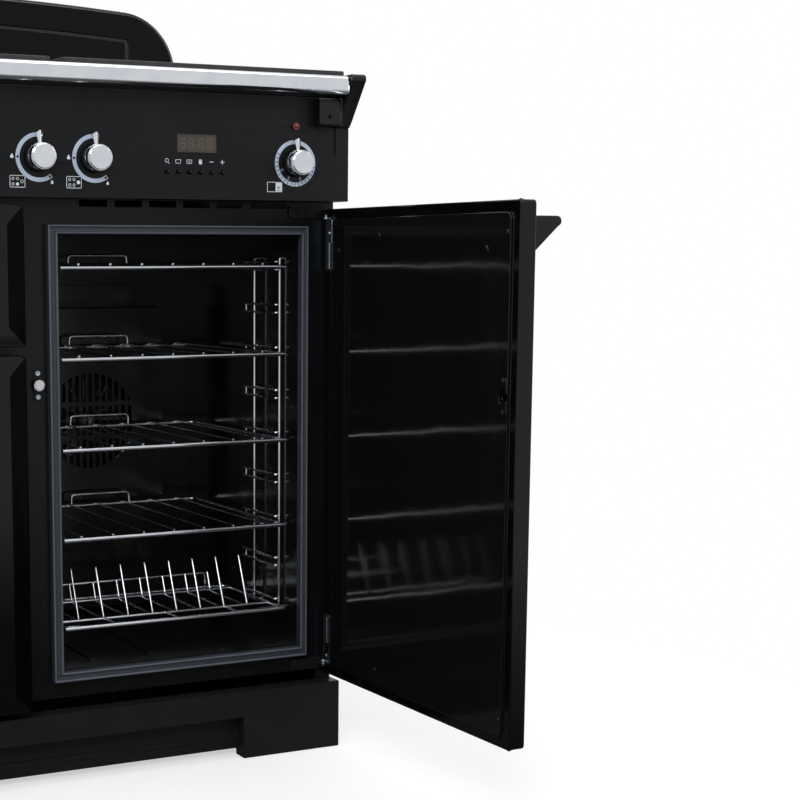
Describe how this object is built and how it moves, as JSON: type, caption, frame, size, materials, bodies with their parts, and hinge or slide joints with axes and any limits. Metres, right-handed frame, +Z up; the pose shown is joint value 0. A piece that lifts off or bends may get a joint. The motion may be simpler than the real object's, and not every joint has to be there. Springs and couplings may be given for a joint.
{
  "type": "range cooker with double oven",
  "caption": "Freestanding range cooker: tall fan oven with open side-hung door and wire shelves, smaller oven under a drop-down grill, gas hob, front handrail, arched upstand.",
  "frame": {"origin": "middle of the whole outline with the tall door open, at floor level", "axes": "+Z up, doors and knobs face -Y, +X to the viewer's right when facing the doors"},
  "size_m": [0.9789, 1.0223, 1.075],
  "materials": {
    "satin_black_paint": "satin black enamel on pressed steel, finely speckled",
    "black_enamel": "glossy black vitreous enamel",
    "cap_enamel": "matt black enamel",
    "chrome": "bright chrome plate",
    "chrome_wire": "chrome-plated wire",
    "zinc_plate": "zinc plate, slightly blue",
    "fan_steel": "plain steel sheet",
    "element_steel": "dull steel sheath, heat-tinted",
    "burner_aluminium": "die-cast, satin",
    "cast_iron": "matt black enamelled casting",
    "grey_rubber": "blue-grey, matt",
    "black_plastic": "fine satin grain",
    "button_plastic": "bright plated plastic",
    "display_plastic": "smoked window",
    "red_lamp": "translucent red"
  },
  "bodies": {
    "cabinet": {"side_panels": "satin_black_paint", "back_panel": "satin_black_paint", "base_tray": "zinc_plate", "levelling_feet": "zinc_plate", "front_frame": "satin_black_paint", "plinth": "satin_black_paint", "hob_tray": "black_enamel", "rear_upstand": "black_enamel", "control_panel": "satin_black_paint", "handrail_bar": "chrome", "handrail_brackets": "black_plastic", "right_oven_liner": "black_enamel", "left_oven_and_grill_liners": "black_enamel", "oven_door_gaskets": "grey_rubber", "right_oven_side_racks": "chrome_wire", "fan_baffle": "black_enamel", "fan_motor_and_ring_element": "zinc_plate", "left_oven_racks_and_shelves": "chrome_wire", "grill_element": "element_steel", "grill_pan": "black_enamel", "burner_bases": "burner_aluminium", "burner_caps": "cap_enamel", "gas_rail_and_taps": "zinc_plate", "clock_display": "display_plastic", "indicator_lamp": "red_lamp", "frame_hinge_brackets_and_catches": "zinc_plate"},
    "right_door": {"right_door_outer_skin": "satin_black_paint", "right_door_inner_liner": "black_enamel", "right_door_handle": "chrome", "right_door_hinge_plates": "zinc_plate"},
    "left_oven_door": {"left_oven_door_skin": "satin_black_paint", "left_oven_door_liner": "black_enamel", "left_oven_door_handle": "chrome"},
    "grill_door": {"grill_door_skin": "satin_black_paint", "grill_door_liner": "black_enamel", "grill_door_handle": "chrome"},
    "fan": {"convection_fan": "fan_steel"},
    "rollers": {"rear_rollers": "black_plastic"},
    "left_oven_knob_body": {"left_oven_knob": "chrome"},
    "grill_knob_body": {"grill_knob": "chrome"},
    "hob_knob_1_body": {"hob_knob_1": "chrome"},
    "hob_knob_2_body": {"hob_knob_2": "chrome"},
    "hob_knob_3_body": {"hob_knob_3": "chrome"},
    "hob_knob_4_body": {"hob_knob_4": "chrome"},
    "hob_knob_5_body": {"hob_knob_5": "chrome"},
    "right_oven_knob_body": {"right_oven_knob": "chrome"},
    "timer_button_1_body": {"timer_button_1": "button_plastic"},
    "timer_button_2_body": {"timer_button_2": "button_plastic"},
    "timer_button_3_body": {"timer_button_3": "button_plastic"},
    "timer_button_4_body": {"timer_button_4": "button_plastic"},
    "timer_button_5_body": {"timer_button_5": "button_plastic"},
    "timer_button_6_body": {"timer_button_6": "button_plastic"},
    "oven_shelf_1_body": {"oven_shelf_1": "chrome_wire"},
    "oven_shelf_2_body": {"oven_shelf_2": "chrome_wire"},
    "oven_shelf_3_body": {"oven_shelf_3": "chrome_wire"},
    "oven_shelf_4_body": {"oven_shelf_4": "chrome_wire"},
    "plate_warming_rack_body": {"plate_warming_rack": "chrome_wire"},
    "pan_support_left_body": {"pan_support_left": "cast_iron"},
    "pan_support_middle_body": {"pan_support_middle": "cast_iron"},
    "pan_support_right_body": {"pan_support_right": "cast_iron"}
  },
  "joints": [
    {"name": "right_door_hinge", "type": "hinge", "parent": "cabinet", "child": "right_door", "pos_m": [0.3935, -0.0808, 0.42], "axis": [0, 0, 1], "range_deg": [-91, 9]},
    {"name": "left_oven_door_hinge", "type": "hinge", "parent": "cabinet", "child": "left_oven_door", "pos_m": [-0.4705, -0.0808, 0.33], "axis": [0, 0, 1], "range_deg": [-100, 0]},
    {"name": "grill_door_hinge", "type": "hinge", "parent": "cabinet", "child": "grill_door", "pos_m": [-0.2605, -0.0958, 0.576], "axis": [1, 0, 0], "range_deg": [0, 90]},
    {"name": "fan_spin", "type": "hinge", "parent": "cabinet", "child": "fan", "pos_m": [0.1865, 0.2882, 0.435], "axis": [0, 1, 0], "continuous": true},
    {"name": "rollers_roll", "type": "hinge", "parent": "cabinet", "child": "rollers", "pos_m": [-0.0385, 0.4272, 0.02], "axis": [1, 0, 0], "continuous": true},
    {"name": "left_oven_knob_turn", "type": "hinge", "parent": "cabinet", "child": "left_oven_knob_body", "pos_m": [-0.4085, -0.1088, 0.7984], "axis": [0, 1, 0], "range_deg": [0, 270]},
    {"name": "grill_knob_turn", "type": "hinge", "parent": "cabinet", "child": "grill_knob_body", "pos_m": [-0.3355, -0.1088, 0.7984], "axis": [0, 1, 0], "range_deg": [0, 270]},
    {"name": "hob_knob_1_turn", "type": "hinge", "parent": "cabinet", "child": "hob_knob_1_body", "pos_m": [-0.2415, -0.1088, 0.7984], "axis": [0, -1, 0], "range_deg": [0, 225]},
    {"name": "hob_knob_2_turn", "type": "hinge", "parent": "cabinet", "child": "hob_knob_2_body", "pos_m": [-0.1685, -0.1088, 0.7984], "axis": [0, -1, 0], "range_deg": [0, 225]},
    {"name": "hob_knob_3_turn", "type": "hinge", "parent": "cabinet", "child": "hob_knob_3_body", "pos_m": [-0.0955, -0.1088, 0.7984], "axis": [0, -1, 0], "range_deg": [0, 225]},
    {"name": "hob_knob_4_turn", "type": "hinge", "parent": "cabinet", "child": "hob_knob_4_body", "pos_m": [-0.0225, -0.1088, 0.7984], "axis": [0, -1, 0], "range_deg": [0, 225]},
    {"name": "hob_knob_5_turn", "type": "hinge", "parent": "cabinet", "child": "hob_knob_5_body", "pos_m": [0.0505, -0.1088, 0.7984], "axis": [0, -1, 0], "range_deg": [0, 225]},
    {"name": "right_oven_knob_turn", "type": "hinge", "parent": "cabinet", "child": "right_oven_knob_body", "pos_m": [0.3315, -0.1088, 0.7984], "axis": [0, 1, 0], "range_deg": [0, 270]},
    {"name": "timer_button_1_press", "type": "slide", "parent": "cabinet", "child": "timer_button_1_body", "axis": [0, 1, 0], "range_m": [0, 0.002], "stiffness_N_per_m": 300, "springref_m": -0.001},
    {"name": "timer_button_2_press", "type": "slide", "parent": "cabinet", "child": "timer_button_2_body", "axis": [0, 1, 0], "range_m": [0, 0.002], "stiffness_N_per_m": 300, "springref_m": -0.001},
    {"name": "timer_button_3_press", "type": "slide", "parent": "cabinet", "child": "timer_button_3_body", "axis": [0, 1, 0], "range_m": [0, 0.002], "stiffness_N_per_m": 300, "springref_m": -0.001},
    {"name": "timer_button_4_press", "type": "slide", "parent": "cabinet", "child": "timer_button_4_body", "axis": [0, 1, 0], "range_m": [0, 0.002], "stiffness_N_per_m": 300, "springref_m": -0.001},
    {"name": "timer_button_5_press", "type": "slide", "parent": "cabinet", "child": "timer_button_5_body", "axis": [0, 1, 0], "range_m": [0, 0.002], "stiffness_N_per_m": 300, "springref_m": -0.001},
    {"name": "timer_button_6_press", "type": "slide", "parent": "cabinet", "child": "timer_button_6_body", "axis": [0, 1, 0], "range_m": [0, 0.002], "stiffness_N_per_m": 300, "springref_m": -0.001},
    {"name": "oven_shelf_1_pull", "type": "slide", "parent": "cabinet", "child": "oven_shelf_1_body", "axis": [0, -1, 0], "range_m": [0, 0.24]},
    {"name": "oven_shelf_2_pull", "type": "slide", "parent": "cabinet", "child": "oven_shelf_2_body", "axis": [0, -1, 0], "range_m": [0, 0.24]},
    {"name": "oven_shelf_3_pull", "type": "slide", "parent": "cabinet", "child": "oven_shelf_3_body", "axis": [0, -1, 0], "range_m": [0, 0.24]},
    {"name": "oven_shelf_4_pull", "type": "slide", "parent": "cabinet", "child": "oven_shelf_4_body", "axis": [0, -1, 0], "range_m": [0, 0.24]},
    {"name": "plate_warming_rack_pull", "type": "slide", "parent": "cabinet", "child": "plate_warming_rack_body", "axis": [0, -1, 0], "range_m": [0, 0.2]},
    {"name": "pan_support_left_lift", "type": "slide", "parent": "cabinet", "child": "pan_support_left_body", "axis": [0, 0, 1], "range_m": [0, 0.08]},
    {"name": "pan_support_middle_lift", "type": "slide", "parent": "cabinet", "child": "pan_support_middle_body", "axis": [0, 0, 1], "range_m": [0, 0.08]},
    {"name": "pan_support_right_lift", "type": "slide", "parent": "cabinet", "child": "pan_support_right_body", "axis": [0, 0, 1], "range_m": [0, 0.08]}
  ]
}
